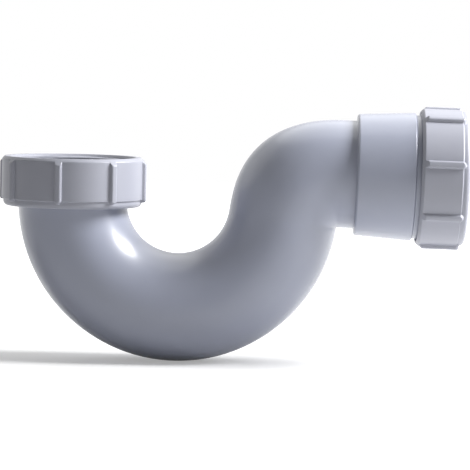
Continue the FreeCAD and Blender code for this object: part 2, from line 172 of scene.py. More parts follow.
class Value:
    """A socket that takes part in Python sums; each sum adds its Math node."""

    def __init__(self, flow: Flow, socket: bpy.types.NodeSocket) -> None:
        """Wraps an output socket of a tree."""
        self.flow = flow
        self.socket = socket

    def math(self, operation: str, *others: Any) -> "Value":
        """Adds a Math node with this value as its first input and the others after it."""
        inputs = {f"in_{index}": other for index, other in enumerate((self, *others))}
        return self.flow.value("ShaderNodeMath", {"operation": operation}, **inputs)

    def _reflected(self, operation: str, first: Any) -> "Value":
        """Adds a Math node with this value as its second input."""
        return self.flow.value("ShaderNodeMath", {"operation": operation}, in_0=first, in_1=self)

    def __add__(self, other: Any) -> "Value":
        """This value and another, summed."""
        return self.math("ADD", other)

    __radd__ = __add__

    def __sub__(self, other: Any) -> "Value":
        """This value less another."""
        return self.math("SUBTRACT", other)

    def __rsub__(self, other: Any) -> "Value":
        """Another value less this one."""
        return self._reflected("SUBTRACT", other)

    def __mul__(self, other: Any) -> "Value":
        """This value times another."""
        return self.math("MULTIPLY", other)

    __rmul__ = __mul__

    def __truediv__(self, other: Any) -> "Value":
        """This value over another."""
        return self.math("DIVIDE", other)

    def __rtruediv__(self, other: Any) -> "Value":
        """Another value over this one."""
        return self._reflected("DIVIDE", other)

    def __mod__(self, other: Any) -> "Value":
        """What is left of this value after whole steps of another."""
        return self.math("MODULO", other)

    def __pow__(self, other: Any) -> "Value":
        """This value to a power."""
        return self.math("POWER", other)

    def whole_steps(self, size: Any) -> "Value":
        """How many whole steps of a size this whole number holds."""
        return (self / size + INDEX_GUARD).math("FLOOR")

    def between(self, low: float, high: float) -> "Value":
        """How far this value has gone from low to high, eased, from 0 to 1."""
        sockets = {"Value": self, "From_Min": low, "From_Max": high}
        return self.flow.value("ShaderNodeMapRange", {"interpolation_type": "SMOOTHSTEP"}, **sockets)


def add_object(name: str, data: Any) -> bpy.types.Object:
    """Adds an object to the scene.

    Args:
        name: Its name.
        data: Its mesh, lamp or camera.

    Returns:
        The object.
    """
    item = bpy.data.objects.new(name, data)
    bpy.context.scene.collection.objects.link(item)
    return item


def new_material(name: str) -> tuple[bpy.types.Material, Flow, Value]:
    """Makes a material.

    Args:
        name: Its name.

    Returns:
        The material, its emptied tree, and the Object coordinates in that tree.
    """
    material = bpy.data.materials.new(name)
    material.use_nodes = True
    flow = Flow(material.node_tree)
    return material, flow, flow.value("ShaderNodeTexCoord", out="Object")


@dataclass(frozen=True)
class MouldedPlastic:
    """A moulded plastic: a tint with faint flow marks, and a skin that isn't quite flat."""

    name: str
    tint: Colour
    flow_tint: Colour
    roughness: float
    smudge: float
    wave_height: float
    grain_size: float
    grain_height: float
    coat: float = 0.0
    coat_roughness: float = 0.1
    centre: Vector3 = (0.0, 0.0, 0.0)
    parting_line: float = 0.0
    parting_band: Point = (0.08 * MM, 0.3 * MM)
    streak_scale: float = 38.0
    streak_squeeze: Vector3 = (1.0, 2.2, 1.0)
    streak_band: Point = (0.42, 0.68)
    streak_share: float = 0.55
    cloud_scale: float = 16.0
    cloud_band: Point = (0.4, 0.7)
    cloud_share: float = 0.45
    rub_scale: float = 95.0
    rub_band: Point = (0.45, 0.75)
    haze_band: Point = (0.45, 0.7)
    wave_scale: float = 70.0

    def build(self) -> bpy.types.Material:
        """Makes the material.

        Returns:
            The material, on Object coordinates.
        """
        material, flow, place = new_material(self.name)
        centred = flow.value("ShaderNodeMapping", {"vector_type": "POINT"}, Vector=place,
                             Location=tuple(-value for value in self.centre))
        drawn = flow.value("ShaderNodeMapping", {"vector_type": "POINT"}, Vector=centred,
                           Scale=self.streak_squeeze)
        streaks = flow.noise(drawn, self.streak_scale, Detail=3.0, Roughness=0.55)
        clouds = flow.noise(centred, self.cloud_scale, Detail=2.0)
        marks = (streaks.between(*self.streak_band) * self.streak_share
                 + clouds.between(*self.cloud_band) * self.cloud_share)
        colour = flow.blend(marks, self.tint, self.flow_tint)

        rubs = flow.noise(centred, self.rub_scale, Detail=4.0, Roughness=0.6)
        roughness = (self.roughness + rubs.between(*self.rub_band) * self.smudge
                     + clouds.between(*self.haze_band) * self.smudge)

        waves = flow.noise(centred, self.wave_scale, Detail=1.0, Roughness=0.4)
        grain = flow.noise(centred, 1.0 / self.grain_size, Detail=2.0)
        height = waves * self.wave_height + grain * self.grain_height
        if self.parting_line:
            across = flow.value("ShaderNodeSeparateXYZ", out="Y", in_0=centred).math("ABSOLUTE")
            height = height + (1 - across.between(*self.parting_band)) * self.parting_line
        bump = flow.value("ShaderNodeBump", Height=height, Distance=1.0, Strength=1.0)
        shader = flow.node("ShaderNodeBsdfPrincipled", Base_Color=colour, Roughness=roughness,
                           Normal=bump, IOR=PLASTIC_IOR, Coat_Weight=self.coat,
                           Coat_Roughness=self.coat_roughness, Coat_IOR=PLASTIC_IOR)
        flow.node("ShaderNodeOutputMaterial", Surface=shader.outputs[0])
        return material


@dataclass(frozen=True)
class MouldedRubber:
    """A moulded rubber: dark, matt and finely grained, with a dusty bloom."""

    name: str
    tint: Colour
    bloom: Colour
    roughness: float
    grain_size: float
    grain_height: float
    dust_scale: float = 120.0
    dust_band: Point = (0.5, 0.8)
    dust_roughness: float = 0.12

    def build(self) -> bpy.types.Material:
        """Makes the material.

        Returns:
            The material, on Object coordinates.
        """
        material, flow, place = new_material(self.name)
        dust = flow.noise(place, self.dust_scale, Detail=5.0, Roughness=0.65)
        bloom = dust.between(*self.dust_band)
        colour = flow.blend(bloom, self.tint, self.bloom)
        grain = flow.noise(place, 1.0 / self.grain_size, Detail=3.0)
        bump = flow.value("ShaderNodeBump", Height=grain * self.grain_height, Distance=1.0, Strength=1.0)
        roughness = self.roughness + bloom * self.dust_roughness
        shader = flow.node("ShaderNodeBsdfPrincipled", Base_Color=colour, Roughness=roughness,
                           Normal=bump, IOR=RUBBER_IOR)
        flow.node("ShaderNodeOutputMaterial", Surface=shader.outputs[0])
        return material


def eased(share: Any) -> Any:
    """A share from 0 to 1, as a number or as a Value, made to start and end gently."""
    return share * share * (3 - 2 * share)


def half_angle(cosine: float) -> float:
    """Half of the angle that has this cosine, in radians."""
    return math.acos(float(np.clip(cosine, -1, 1))) / 2


def corner_sides(corners: Sequence[Corner], index: int) -> tuple[np.ndarray, np.ndarray]:
    """The way from a corner to the one before it, and to the one after it."""
    before, here, after = (np.array(corners[at % len(corners)][:2]) for at in (index - 1, index, index + 1))
    return before - here, after - here


def rounding_run(corners: Sequence[Corner], index: int, closed: bool) -> float:
    """How far a corner's rounding reaches along each of its sides.

    Args:
        corners: Height along the axis, radius about it and rounding of each corner, in millimetres.
        index: The corner's place.
        closed: Whether the outline returns to its first corner.

    Returns:
        The reach in millimetres, 0 for a sharp corner.
    """
    rounding = corners[index][2]
    if rounding <= 0 or (not closed and index in (0, len(corners) - 1)):
        return 0.0
    before, after = corner_sides(corners, index)
    cosine = before @ after / np.linalg.norm(before) / np.linalg.norm(after)
    return rounding / math.tan(half_angle(cosine))


def rounded(corners: Sequence[Corner], closed: bool = False) -> list[Point]:
    """Rounds the corners of an outline.

    Args:
        corners: Height along the axis, radius about it and rounding of each corner, in millimetres.
        closed: Whether the outline returns to its first corner.

    Returns:
        The outline's points. One more beside each end of a rounding, where there is room, keeps
        flat faces flat.
    """
    points: list[Point] = []
    count = len(corners)
    runs = [rounding_run(corners, index, closed) for index in range(count)]
    for index, (height, radius, rounding) in enumerate(corners):
        run = runs[index]
        if run == 0:
            points.append((height, radius))
            continue
        here = np.array((height, radius))
        before, after = corner_sides(corners, index)
        reach_before, reach_after = np.linalg.norm(before), np.linalg.norm(after)
        before, after = before / reach_before, after / reach_after
        middle = (before + after) / np.linalg.norm(before + after)
        centre = here + middle * rounding / math.sin(half_angle(before @ after))
        start, end = here + before * run - centre, here + after * run - centre
        sweep = math.atan2(start[0] * end[1] - start[1] * end[0], float(start @ end))
        if reach_before > run + runs[index - 1] + HOLD_ROOM:
            points.append(tuple(here + before * (run + HOLD)))
        steps = max(FEWEST_ARC_STEPS, math.ceil(abs(sweep) / ARC_STEP))
        for step in range(steps + 1):
            angle = sweep * step / steps
            turn = np.array(((math.cos(angle), -math.sin(angle)), (math.sin(angle), math.cos(angle))))
            points.append(tuple(centre + turn @ start))
        if reach_after > run + runs[(index + 1) % count] + HOLD_ROOM:
            points.append(tuple(here + after * (run + HOLD)))
    return points


@dataclass
class Rings:
    """A loop of rings, each a centre in the middle plane, a turn about +Y and a radius."""

    rows: list[Ring]

    @classmethod
    def along_axis(cls, outline: Iterable[Point]) -> "Rings":
        """Rings about the Z axis, from pairs of height and radius in millimetres."""
        return cls([(0.0, height, 0.0, radius) for height, radius in outline])

    def to_object(self, name: str) -> bpy.types.Object:
        """Writes the rings as loose points that carry their turn and radius.

        Args:
            name: The object's name.

        Returns:
            The object that a skin's modifier then reads.
        """
        mesh = bpy.data.meshes.new(name)
        mesh.from_pydata([(x * MM, 0.0, z * MM) for x, z, _, _ in self.rows], [], [])
        for attribute, column, scale in (("turn", 2, 1.0), ("radius", 3, MM)):
            layer = mesh.attributes.new(attribute, "FLOAT", "POINT")
            layer.data.foreach_set("value", [row[column] * scale for row in self.rows])
        return add_object(name, mesh)


class GeometryTree:
    """A geometry tree with named inputs, which a modifier runs once to make a plain mesh."""

    def __init__(self, name: str, inputs: Sequence[tuple[str, str]]) -> None:
        """Makes the tree and its sockets.

        Args:
            name: The tree's name.
            inputs: Pairs of input name and socket type, after the geometry.
        """
        self.tree = bpy.data.node_groups.new(name, "GeometryNodeTree")
        face = self.tree.interface
        face.new_socket("Geometry", in_out="INPUT", socket_type="NodeSocketGeometry")
        face.new_socket("Geometry", in_out="OUTPUT", socket_type="NodeSocketGeometry")
        for label, kind in inputs:
            face.new_socket(label, in_out="INPUT", socket_type=kind)
        self.flow = Flow(self.tree)
        self.entry = self.flow.node("NodeGroupInput")

    def given(self, label: str) -> Value:
        """One of the tree's named inputs."""
        return Value(self.flow, self.entry.outputs[label])

    def stored(self, label: str, kind: str, index: Value) -> Value:
        """An attribute of the rings, of this data type, read at a ring's index."""
        source = self.flow.value("GeometryNodeInputNamedAttribute", {"data_type": kind}, out="Attribute",
                                 Name=label)
        return self.sampled(source, kind, index)

    def sampled(self, source: Value, kind: str, index: Value) -> Value:
        """A field of the input geometry, of this data type, read at a point's index."""
        sockets = {"Geometry": self.entry.outputs["Geometry"], "Value": source, "Index": index}
        return self.flow.value("GeometryNodeSampleIndex", {"data_type": kind, "domain": "POINT"}, **sockets)

    def grid(self, rows: Value, columns: Value) -> tuple[Value, Value, Value]:
        """A grid of points, numbered by row and by column.

        Args:
            rows: How many rows it has.
            columns: How many columns it has.

        Returns:
            The grid's geometry, and each point's row and column.
        """
        sheet = self.flow.value("GeometryNodeMeshGrid", out="Mesh", Size_X=1.0, Size_Y=1.0, Vertices_X=rows,
                                Vertices_Y=columns)
        index = self.flow.value("GeometryNodeInputIndex")
        row = index.whole_steps(columns)
        return sheet, row, index - row * columns

    def finish(self, geometry: Value, position: Value, merge: float) -> None:
        """Moves the grid's points to their places, closes its seams and ends the tree.

        Args:
            geometry: The grid.
            position: Each point's place.
            merge: The distance under which points become one, in metres.
        """
        moved = self.flow.value("GeometryNodeSetPosition", Geometry=geometry, Position=position)
        closed = self.flow.value("GeometryNodeMergeByDistance", Geometry=moved, Distance=merge)
        smooth = self.flow.value("GeometryNodeSetShadeSmooth", Geometry=closed)
        real = self.flow.value("GeometryNodeRealizeInstances", Geometry=smooth)
        painted = self.flow.value("GeometryNodeSetMaterial", Geometry=real, Material=self.given("Material"))
        self.flow.node("NodeGroupOutput", in_0=painted)

    def run(self, item: bpy.types.Object, values: dict[str, Any]) -> None:
        """Runs the tree on an object and keeps its result as a plain mesh.

        Args:
            item: The object, whose mesh is replaced.
            values: The tree's inputs by name.
        """
        modifier = item.modifiers.new(self.tree.name, "NODES")
        modifier.node_group = self.tree
        for socket in self.tree.interface.items_tree:
            if socket.in_out == "INPUT" and socket.name in values:
                modifier[socket.identifier] = values[socket.name]
        depsgraph = bpy.context.evaluated_depsgraph_get()
        depsgraph.update()
        made = bpy.data.meshes.new_from_object(item.evaluated_get(depsgraph), depsgraph=depsgraph)
        item.modifiers.clear()
        item.data = made
        made.name = item.name
        face_outwards(made)


def face_outwards(mesh: bpy.types.Mesh) -> None:
    """Turns a closed mesh's faces outwards.

    Args:
        mesh: The mesh, changed in place.
    """
    work = bmesh.new()
    work.from_mesh(mesh)
    bmesh.ops.recalc_face_normals(work, faces=work.faces)
    if work.calc_volume(signed=True) < 0:
        bmesh.ops.reverse_faces(work, faces=work.faces)
    work.to_mesh(mesh)
    work.free()


class SkinTree(GeometryTree):
    """Stretches a skin over a loop of rings."""

    def __init__(self) -> None:
        """Writes the tree."""
        super().__init__("ring_skin", [("Columns", "NodeSocketInt"), ("Material", "NodeSocketMaterial")])
        columns = self.given("Columns")
        angle, row, sheet = self.unroll(columns)
        self.finish(sheet, self.place(row, angle, self.stored("radius", "FLOAT", row)), SKIN_SEAM)

    def unroll(self, columns: Value) -> tuple[Value, Value, Value]:
        """Makes the grid that becomes the skin.

        Args:
            columns: How many columns go round a ring.

        Returns:
            Each point's angle round its ring, its ring's number and the grid.
        """
        count = self.flow.value("GeometryNodeAttributeDomainSize", {"component": "MESH"}, out="Point Count",
                                Geometry=self.entry.outputs["Geometry"])
        sheet, row, column = self.grid(count + 1, columns + 1)
        return column / columns * math.tau, row % count, sheet

    def place(self, row: Value, angle: Value, radius: Value) -> Value:
        """Puts a point on its ring.

        Args:
            row: The ring's number.
            angle: The angle round the ring.
            radius: The distance from the ring's centre.

        Returns:
            The point's place.
        """
        turn = self.stored("turn", "FLOAT", row)
        position = self.flow.value("GeometryNodeInputPosition")
        centre = self.sampled(position, "FLOAT_VECTOR", row)
        across = radius * angle.math("COSINE")
        spoke = self.flow.value("ShaderNodeCombineXYZ", X=across * turn.math("COSINE"),
                                Y=radius * angle.math("SINE"), Z=across * turn.math("SINE") * -1)
        return self.flow.value("ShaderNodeVectorMath", {"operation": "ADD"}, in_0=centre, in_1=spoke)


class RibbedSkinTree(SkinTree):
    """Stretches a skin over a nut's rings, and raises its grip ribs where the rings allow them."""

    def __init__(self) -> None:
        """Writes the tree."""
        floats = ["Wall Radius", "Crest Radius", "Rib Half Width", "Rib Back", "Rib Round", "Rib Foot",
                  "Rim Height", "Lead Radius", "Rim Round"]
        inputs = [(label, "NodeSocketFloat") for label in floats]
        inputs += [(label, "NodeSocketInt") for label in ("Rib Count", "Rib Columns", "Gap Columns")]
        GeometryTree.__init__(self, "ribbed_skin", inputs + [("Material", "NodeSocketMaterial")])
        dense, sparse, ribs = self.given("Rib Columns"), self.given("Gap Columns"), self.given("Rib Count")
        each = dense + sparse
        _, row, sheet = self.unroll(each * ribs)
        index = self.flow.value("GeometryNodeInputIndex")
        stride = each * ribs + 1
        column = index - index.whole_steps(stride) * stride

        wall, crest = self.given("Wall Radius"), self.given("Crest Radius")
        half, curve, foot = self.given("Rib Half Width"), self.given("Rib Round"), self.given("Rib Foot")
        block = column.whole_steps(each)
        inside = column - block * each
        step = math.tau / ribs
        spread = (half + foot) / wall
        on_rib = inside / dense * 2 * spread - spread
        off_rib = (inside - dense) / sparse * (step - spread * 2) + spread
        past = inside.math("GREATER_THAN", dense)
        offset = on_rib * (1 - past) + off_rib * past
        angle = block * step + offset

        height = self.flow.value("ShaderNodeSeparateXYZ", out="Z", in_0=self.sampled(
            self.flow.value("GeometryNodeInputPosition"), "FLOAT_VECTOR", row))
        aside = offset.math("ABSOLUTE").math("MINIMUM", (step - offset).math("ABSOLUTE")) * wall
        behind = (self.given("Rib Back") - height).math("MAXIMUM", 0.0)
        inset = half - (aside * aside + behind * behind).math("SQRT")
        bevel = (curve - inset).math("MAXIMUM", 0.0).math("MINIMUM", curve)
        drop = curve - (curve * curve - bevel * bevel).math("MAXIMUM", 0.0).math("SQRT")
        flank = (inset * -1).math("MAXIMUM", 0.0) * FLANK_SLOPE
        plain = self.stored("radius", "FLOAT", row)
        raised = plain.math("SMOOTH_MAX", crest - drop - flank, RIB_BLEND)
        lead = self.given("Lead Radius") + self.given("Rim Height") - height
        trimmed = raised.math("SMOOTH_MIN", lead, self.given("Rim Round"))
        outer = self.stored("outer", "FLOAT", row)
        radius = trimmed * outer + plain * (1 - outer)
        self.finish(sheet, self.place(row, angle, radius), SKIN_SEAM)


class ThreadTree(GeometryTree):
    """Winds one screwed ridge about the Z axis, which fades into its wall at both ends."""

    def __init__(self) -> None:
        """Writes the tree."""
        floats = ["Radius", "Pitch", "Turns", "Ridge Height", "Ridge Width", "Start Height", "Fade Turns"]
        inputs = [(label, "NodeSocketFloat") for label in floats]
        inputs += [(label, "NodeSocketInt") for label in ("Steps", "Points")]
        inputs += [("Material", "NodeSocketMaterial")]
        super().__init__("thread_ridge", inputs)
        steps, points, turns = self.given("Steps"), self.given("Points"), self.given("Turns")
        sheet, row, column = self.grid(steps + 1, points + 1)
        wound = row / steps * turns
        fade = wound.math("MINIMUM", turns - wound) / self.given("Fade Turns")
        size = eased(fade.math("MINIMUM", 1.0).math("MAXIMUM", 0.0))
        across = (column % points) / (points - 1) * 2 - 1
        crown = 1 - across.math("ABSOLUTE") ** CROWN_POWER
        radius = self.given("Radius") + self.given("Ridge Height") * (crown - RIDGE_SINK) * size
        sideways = across * self.given("Ridge Width") / 2 * size
        rise = self.given("Start Height") + wound * self.given("Pitch") + sideways
        angle = wound * math.tau
        spot = self.flow.value("ShaderNodeCombineXYZ", X=radius * angle.math("COSINE"),
                               Y=radius * angle.math("SINE"), Z=rise)
        self.finish(sheet, spot, THREAD_SEAM)


@dataclass
class Workshop:
    """The geometry trees, made once and shared by the pieces."""

    skin: SkinTree
    ribbed: RibbedSkinTree
    thread: ThreadTree

    @classmethod
    def open(cls) -> "Workshop":
        """Writes the trees, and opens the workshop with them."""
        return cls(SkinTree(), RibbedSkinTree(), ThreadTree())


@dataclass(frozen=True)
class Ridge:
    """A thread's ridge, in millimetres. Skip says how many turns of its start are left out."""

    pitch: float
    height: float
    width: float
    start: float
    turns: float
    steps: int
    skip: float = 0.0
    side: Side = Side.INWARD


@dataclass
class Piece:
    """What every piece has: the shop's trees, its material, and the ways to make and dress it."""

    shop: Workshop
    material: bpy.types.Material

    def wrap(self, name: str, rings: Rings, columns: int) -> bpy.types.Object:
        """Stretches a plain skin over rings.

        Args:
            name: The object's name.
            rings: The closed loop of rings.
            columns: How many faces go round.

        Returns:
            The finished mesh object.
        """
        item = rings.to_object(name)
        self.shop.skin.run(item, {"Columns": columns, "Material": self.material})
        return item

    def wind(self, name: str, radius: float, ridge: Ridge) -> bpy.types.Object:
        """Winds a thread's ridge about the Z axis.

        Args:
            name: The object's name.
            radius: The radius of the wall that it stands on.
            ridge: The ridge.

        Returns:
            The finished mesh object.
        """
        item = add_object(name, bpy.data.meshes.new(name))
        self.shop.thread.run(item, {
            "Radius": radius * MM, "Pitch": ridge.pitch * MM, "Turns": ridge.turns,
            "Ridge Height": ridge.height * ridge.side.value * MM, "Ridge Width": ridge.width * MM,
            "Start Height": (ridge.start + ridge.skip * ridge.pitch) * MM, "Fade Turns": FADE_TURNS,
            "Steps": ridge.steps, "Points": RIDGE_POINTS, "Material": self.material,
        })
        return item

    def dress(self, item: bpy.types.Object, body: Body, slot: Slot, node: str | None = None) -> None:
        """Says what a finished piece rides on and what it stands for.

        Args:
            item: The piece.
            body: The body it rides on.
            slot: The record's slot; not used.
            node: The construction's node that it replaces, if any.
        """
        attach(item, body.value)
        if node:
            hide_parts(node)
        LOG.info("%s: %d faces, rides on %s", item.name, len(item.data.polygons), body.value)


@dataclass
class Outlet:
    """The outlet's axis: where it starts, and how it falls towards +X."""

    start_x: float = 105.6690
    start_z: float = -3.7395
    fall: float = 1.2

    def point(self, distance: float) -> Point:
        """The axis's x and z at a distance from its start."""
        angle = math.radians(self.fall)
        return self.start_x + distance * math.cos(angle), self.start_z - distance * math.sin(angle)

    def matrix(self, distance: float, facing: float, turn: float = 0.0) -> Matrix:
        """The place of a piece made about +Z.

        Args:
            distance: Where its zero height goes along the axis.
            facing: 90 to point its +Z outwards, -90 to point it inwards.
            turn: Its turn about its own axis, in degrees.

        Returns:
            The matrix from the piece's own frame to the trap's.
        """
        x, z = self.point(distance)
        tilt = Matrix.Rotation(math.radians(self.fall + facing), 4, "Y")
        return Matrix.Translation((x * MM, 0, z * MM)) @ tilt @ Matrix.Rotation(math.radians(turn), 4, "Z")


@dataclass
class Moulding(Piece):
    """The one-piece tube: flanged neck, bend, elbow, outlet pipe, socket and spigot."""

    outlet: Outlet
    pipe_radius: float = 21.5
    wall: float = 2.5
    bend_radius: float = 42.0
    bend_height: float = -16.1
    bend_end: float = 8.4
    flange_radius: float = 23.0
    flange_top: float = -13.1
    flange_underside: float = -15.7
    flange_edge: float = 0.4
    mouth_edge: float = 0.2
    mouth_lap: float = 1.0
    root_fillet: float = 0.15
    corner: float = 0.4
    swell: float = 1.85
    swell_bias: float = 0.87
    outlet_radius: float = 21.3
    socket_start: float = 6.3
    socket_stop: float = 8.9
    socket_end: float = 29.3
    socket_radii: Point = (24.0, 25.4)
    shoulder: float = 1.0
    socket_edge: float = 0.8
    socket_bore: float = 21.8
    bore_edge: float = 0.3
    spigot_radius: float = 24.4
    spigot_end: float = 40.9
    spigot_chamfer: float = 0.4
    spigot_edge: float = 0.1
    seat_inset: float = 0.9
    seat_depth: float = 3.4
    ridge: Ridge = Ridge(pitch=3.0, height=0.86, width=1.5, start=1.0, turns=3.2, steps=520,
                         side=Side.OUTWARD)
    bend_rings: int = 124
    elbow_rings: int = 70

    def make(self) -> None:
        """Builds the tube and its thread, and dresses both."""
        tube = self.wrap("trap_tube", self.waterway(), TUBE_COLUMNS)
        self.dress(tube, Body.TRAP, Slot.BODY, "trap_body")
        thread = self.wind("spigot_thread", self.spigot_radius, self.ridge)
        thread.data.transform(self.outlet.matrix(self.socket_end, OUTWARDS))
        self.dress(thread, Body.TRAP, Slot.BODY)

    def waterway(self) -> Rings:
        """The whole tube as one loop of rings: along its outside, then back along its bore.

        Returns:
            The rings.
        """
        rows: list[Ring] = []
        neck_bore, outlet_bore = self.pipe_radius - self.wall, self.outlet_radius - self.wall
        neck = rounded([
            (self.flange_top - self.mouth_lap, neck_bore, 0.0),
            (self.flange_top, neck_bore, self.mouth_edge),
            (self.flange_top, self.flange_radius, self.flange_edge),
            (self.flange_underside, self.flange_radius, self.flange_edge),
            (self.flange_underside, self.pipe_radius, self.root_fillet),
            (self.bend_height, self.pipe_radius, 0.0),
        ])
        rows += [(0.0, height, math.pi, radius) for height, radius in neck]
        rows += self.bend(self.pipe_radius)
        rows += self.elbow(0.0)
        root, end = self.socket_radii
        spigot = rounded([
            (0.0, self.outlet_radius, 0.0),
            (self.socket_start, self.outlet_radius, self.bore_edge),
            (self.socket_start, root, self.shoulder),
            (self.socket_end, end, self.socket_edge),
            (self.socket_end, self.spigot_radius, self.root_fillet),
            (self.spigot_end - self.spigot_chamfer, self.spigot_radius, self.spigot_edge),
            (self.spigot_end, self.spigot_radius - self.spigot_chamfer, self.spigot_edge),
            (self.spigot_end, self.spigot_radius - self.seat_inset, self.root_fillet),
            (self.spigot_end - self.seat_depth, self.socket_bore, self.bore_edge),
            (self.socket_stop, self.socket_bore, self.bore_edge),
            (self.socket_stop, outlet_bore, self.bore_edge),
            (0.0, outlet_bore, 0.0),
        ])
        down = math.radians(90 + self.outlet.fall)
        for distance, radius in spigot[1:-1]:
            rows.append((*self.outlet.point(distance), down, radius))
        rows += reversed(self.elbow(self.wall))
        rows += reversed(self.bend(self.pipe_radius - self.wall))
        return Rings(rows)

    def bend(self, radius: float) -> list[Ring]:
        """Rings of the bend, past its first.

        Args:
            radius: The rings' radius.

        Returns:
            The rings, from the neck to the elbow.
        """
        rows = []
        for index in range(1, self.bend_rings):
            turn = math.radians(180 - (180 - self.bend_end) * index / self.bend_rings)
            x = self.bend_radius + self.bend_radius * math.cos(turn)
            z = self.bend_height - self.bend_radius * math.sin(turn)
            rows.append((x, z, turn, radius))
        return rows

    def elbow(self, wall: float) -> list[Ring]:
        """Rings of the elbow, fanned about the hinge line at its inner corner.

        Args:
            wall: How far the rings lie inside the tube's outside.

        Returns:
            The rings, both ends counted.
        """
        end = math.radians(self.bend_end)
        reach = self.bend_radius + self.pipe_radius + self.corner
        hinge_x = self.bend_radius + reach * math.cos(end)
        hinge_z = self.bend_height - reach * math.sin(end)
        rows = []
        for index in range(self.elbow_rings + 1):
            share = index / self.elbow_rings
            turn = end + (math.radians(90 + self.outlet.fall) - end) * share
            radius = self.pipe_radius + (self.outlet_radius - self.pipe_radius) * eased(share)
            radius += self.swell / 2 * math.sin(math.pi * share ** self.swell_bias) ** 2
            arm = self.corner + radius
            rows.append((hinge_x - arm * math.cos(turn), hinge_z + arm * math.sin(turn), turn, radius - wall))
        return rows


@dataclass
class RibbedNut(Piece):
    """A ribbed nut, made about +Z with its closed face at height 0."""

    name: str
    body: Body
    place: Matrix
    height: float
    outside: float
    thread_radius: float
    thread_length: float
    mouth: float
    relief: float
    lip_bore: float
    ridge: Ridge
    lip: float = 2.8
    lip_edge: float = 0.2
    relief_edge: float = 0.1
    relief_fillet: float = 0.3
    rim_land: float = 0.15
    step_depth: float = 0.7
    step_height: float = 2.9
    back_round: float = 1.8
    lead: float = 1.1
    rim_round: float = 0.45
    rib_count: int = 8
    rib_height: float = 1.35
    rib_width: float = 2.7
    rib_back: float = 2.0
    rib_round: float = 0.9
    rib_foot: float = 0.45
    rib_columns: int = 26
    gap_columns: int = 11
    ledge_width: float = 0.32
    back_steps: int = 9
    fine_step: float = 0.14
    fine_clear: Point = (0.1, 0.6)
    coarse_step: float = 0.7
    coarse_clear: float = 0.5
    tip_step: float = 0.12
    tip_clear: Point = (0.3, 0.05)

    def make(self) -> None:
        """Builds the nut and its thread, and dresses both."""
        item = self.rings()
        self.shop.ribbed.run(item, {
            "Wall Radius": self.outside * MM, "Crest Radius": (self.outside + self.rib_height) * MM,
            "Rib Half Width": self.rib_width / 2 * MM, "Rib Back": (self.rib_back + self.rib_width / 2) * MM,
            "Rib Round": self.rib_round * MM, "Rib Foot": self.rib_foot * MM,
            "Rim Height": self.height * MM, "Rim Round": self.rim_round * MM,
            "Lead Radius": (self.outside - self.lead) * MM, "Rib Count": self.rib_count,
            "Rib Columns": self.rib_columns, "Gap Columns": self.gap_columns, "Material": self.material,
        })
        item.data.transform(self.place)
        self.dress(item, self.body, Slot.NUT, self.name)
        self.cut_thread()

    def cut_thread(self) -> None:
        """Builds the ridge of the nut's own thread, less its skipped start, and dresses it."""
        thread = self.wind(f"{self.name}_thread", self.thread_radius, self.ridge)
        thread.data.transform(self.place @ Matrix.Rotation(self.ridge.skip * math.tau, 4, "Z"))
        self.dress(thread, self.body, Slot.NUT)

    def rings(self) -> bpy.types.Object:
        """The nut's loop of rings, with the outer wall's marked for the ribs.

        Returns:
            The object that carries the rings.
        """
        step = self.outside - self.step_depth
        foot = self.height - self.mouth - self.thread_length
        relief = self.thread_radius + self.relief
        mouth_round = min(self.lip_edge, self.mouth / 3)
        inner = rounded([
            (self.height, self.outside - self.lead - self.rim_land, 0.0),
            (self.height, self.thread_radius + self.mouth, mouth_round),
            (self.height - self.mouth, self.thread_radius, mouth_round),
            (foot, self.thread_radius, self.relief_edge),
            (foot, relief, self.relief_edge),
            (self.lip, relief, self.relief_fillet),
            (self.lip, self.lip_bore, self.lip_edge),
            (0.0, self.lip_bore, self.lip_edge),
            (0.0, step - self.back_round - HOLD, 0.0),
        ])
        outer = self.outer_wall(step)
        item = Rings.along_axis(inner + outer).to_object(self.name + "_skin")
        layer = item.data.attributes.new("outer", "FLOAT", "POINT")
        layer.data.foreach_set("value", [0.0] * len(inner) + [1.0] * len(outer))
        return item

    def outer_wall(self, step: float) -> list[Point]:
        """The outer wall's rings, from the closed face's rounding to the open rim.

        Args:
            step: The radius of the narrower band beside the closed face.

        Returns:
            Pairs of height and radius, each higher than the last.
        """
        points: list[Point] = []
        for index in range(self.back_steps + 1):
            angle = math.radians(90 * index / self.back_steps)
            away = self.back_round * (1 - math.cos(angle))
            points.append((away, step - self.back_round + self.back_round * math.sin(angle)))
        rib_end = self.rib_back + self.rib_width / 2
        lead_start = self.height - self.lead - self.rib_height
        before, after = self.fine_clear
        fine = np.arange(self.back_round + before, rib_end + after, self.fine_step)
        coarse = np.arange(fine[-1] + self.coarse_clear, lead_start - self.coarse_clear, self.coarse_step)
        before, after = self.tip_clear
        tip = np.arange(coarse[-1] + before, self.height - after, self.tip_step)
        for height in (*fine, *coarse, *tip):
            past = (height - self.step_height + self.ledge_width / 2) / self.ledge_width
            share = eased(min(max(past, 0.0), 1.0))
            points.append((float(height), step + self.step_depth * share))
        points.append((self.height, self.outside))
        return points


@dataclass
class TurnedRing(Piece):
    """A plain ring made about +Z: a washer, a seal or a slip ring."""

    name: str
    body: Body
    slot: Slot
    place: Matrix
    outline: Sequence[Corner]

    def make(self) -> None:
        """Builds the ring and dresses it."""
        rings = Rings.along_axis(rounded(self.outline, closed=True))
        item = self.wrap(self.name + "_ring", rings, RING_COLUMNS)
        item.data.transform(self.place)
        self.dress(item, self.body, self.slot, self.name)


